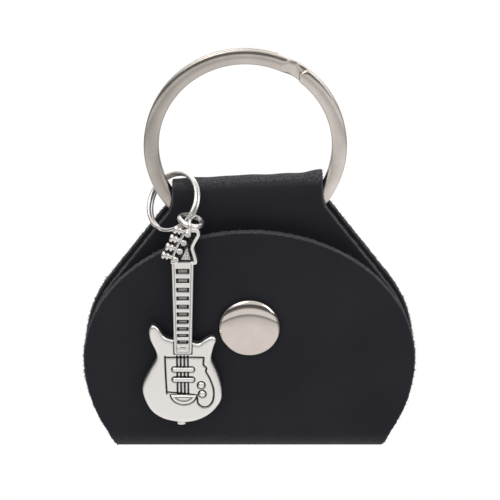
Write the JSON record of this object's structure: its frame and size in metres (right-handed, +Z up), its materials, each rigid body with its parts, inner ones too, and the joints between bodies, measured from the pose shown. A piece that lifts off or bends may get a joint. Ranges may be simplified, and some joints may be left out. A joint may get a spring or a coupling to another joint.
{
  "type": "guitar pick holder",
  "caption": "Folded leather guitar-pick holder with a press snap, hanging from a flat split key ring that also carries a small guitar charm.",
  "frame": {"origin": "the point where the snap's axis meets the rear face of the back panel", "axes": "+Y is the outward normal of the rear face, -Y is the front with the snap cap and the charm, +Z is up towards the key ring, +X is to the right seen from the front"},
  "size_m": [0.068, 0.0142, 0.0854],
  "materials": {
    "black_leather": "matt black vegetable-tanned leather with a fine grain and a fibrous grey cut edge",
    "polished_nickel": "polished nickel plate",
    "plated_brass": "nickel-plated pressed brass",
    "spring_wire": "drawn phosphor-bronze wire",
    "satin_nickel": "warm satin nickel plate on rolled steel strip",
    "ring_nickel": "bright nickel-plated round steel wire",
    "antique_silver": "cast zinc alloy with bright antique silver plate and blackened recesses"
  },
  "bodies": {
    "holder": {"back_panel": "black_leather", "top_fold": "black_leather"},
    "bottom_fold": {"bottom_fold": "black_leather"},
    "front_flap": {"front_flap": "black_leather", "snap_cap": "polished_nickel", "snap_cap_post": "plated_brass", "snap_socket": "plated_brass", "socket_spring": "spring_wire"},
    "inner_flap": {"inner_flap": "black_leather", "snap_stud": "plated_brass", "stud_eyelet": "plated_brass"},
    "key_ring": {"key_ring": "satin_nickel"},
    "charm_split_ring": {"charm_split_ring": "ring_nickel"},
    "charm_jump_ring": {"charm_jump_ring": "ring_nickel"},
    "guitar_charm": {"guitar_charm": "antique_silver"}
  },
  "joints": [
    {"name": "flap_fold_rear", "type": "hinge", "parent": "holder", "child": "bottom_fold", "pos_m": [0, -0.00152, -0.02813], "axis": [1, 0, 0], "range_deg": [0, 75], "deforming": ["front_flap", "socket_spring"]},
    {"name": "flap_fold_front", "type": "hinge", "parent": "bottom_fold", "child": "front_flap", "pos_m": [0, -0.00888, -0.02813], "axis": [1, 0, 0], "range_deg": [0, 75]},
    {"name": "inner_flap_lift", "type": "hinge", "parent": "holder", "child": "inner_flap", "pos_m": [-0.0004, -0.006, 0.0267], "axis": [-0.9988, 0, -0.0489], "range_deg": [0, 20]},
    {"name": "key_ring_turn", "type": "hinge", "parent": "holder", "child": "key_ring", "pos_m": [-0.0008, -0.003, 0.0358], "axis": [0, -1, 0], "continuous": true},
    {"name": "charm_ring_swing", "type": "hinge", "parent": "holder", "child": "charm_split_ring", "pos_m": [-0.0004, -0.003, 0.0267], "axis": [-0.9988, 0, -0.0489], "range_deg": [0, 20]},
    {"name": "jump_ring_swing", "type": "hinge", "parent": "charm_split_ring", "child": "charm_jump_ring", "pos_m": [-0.0117, -0.01015, 0.0234], "axis": [-1, 0, 0], "range_deg": [0, 20]},
    {"name": "charm_swing", "type": "hinge", "parent": "charm_jump_ring", "child": "guitar_charm", "pos_m": [-0.0116, -0.01265, 0.02295], "axis": [-1, 0, 0], "range_deg": [0, 60]}
  ],
  "couplings": [
    {"joint": "flap_fold_front", "follows": "flap_fold_rear", "ratio": 1},
    {"joint": "inner_flap_lift", "follows": "flap_fold_rear", "ratio": 0.26},
    {"joint": "charm_ring_swing", "follows": "flap_fold_rear", "ratio": 0.26},
    {"joint": "charm_swing", "follows": "jump_ring_swing", "ratio": 3}
  ]
}
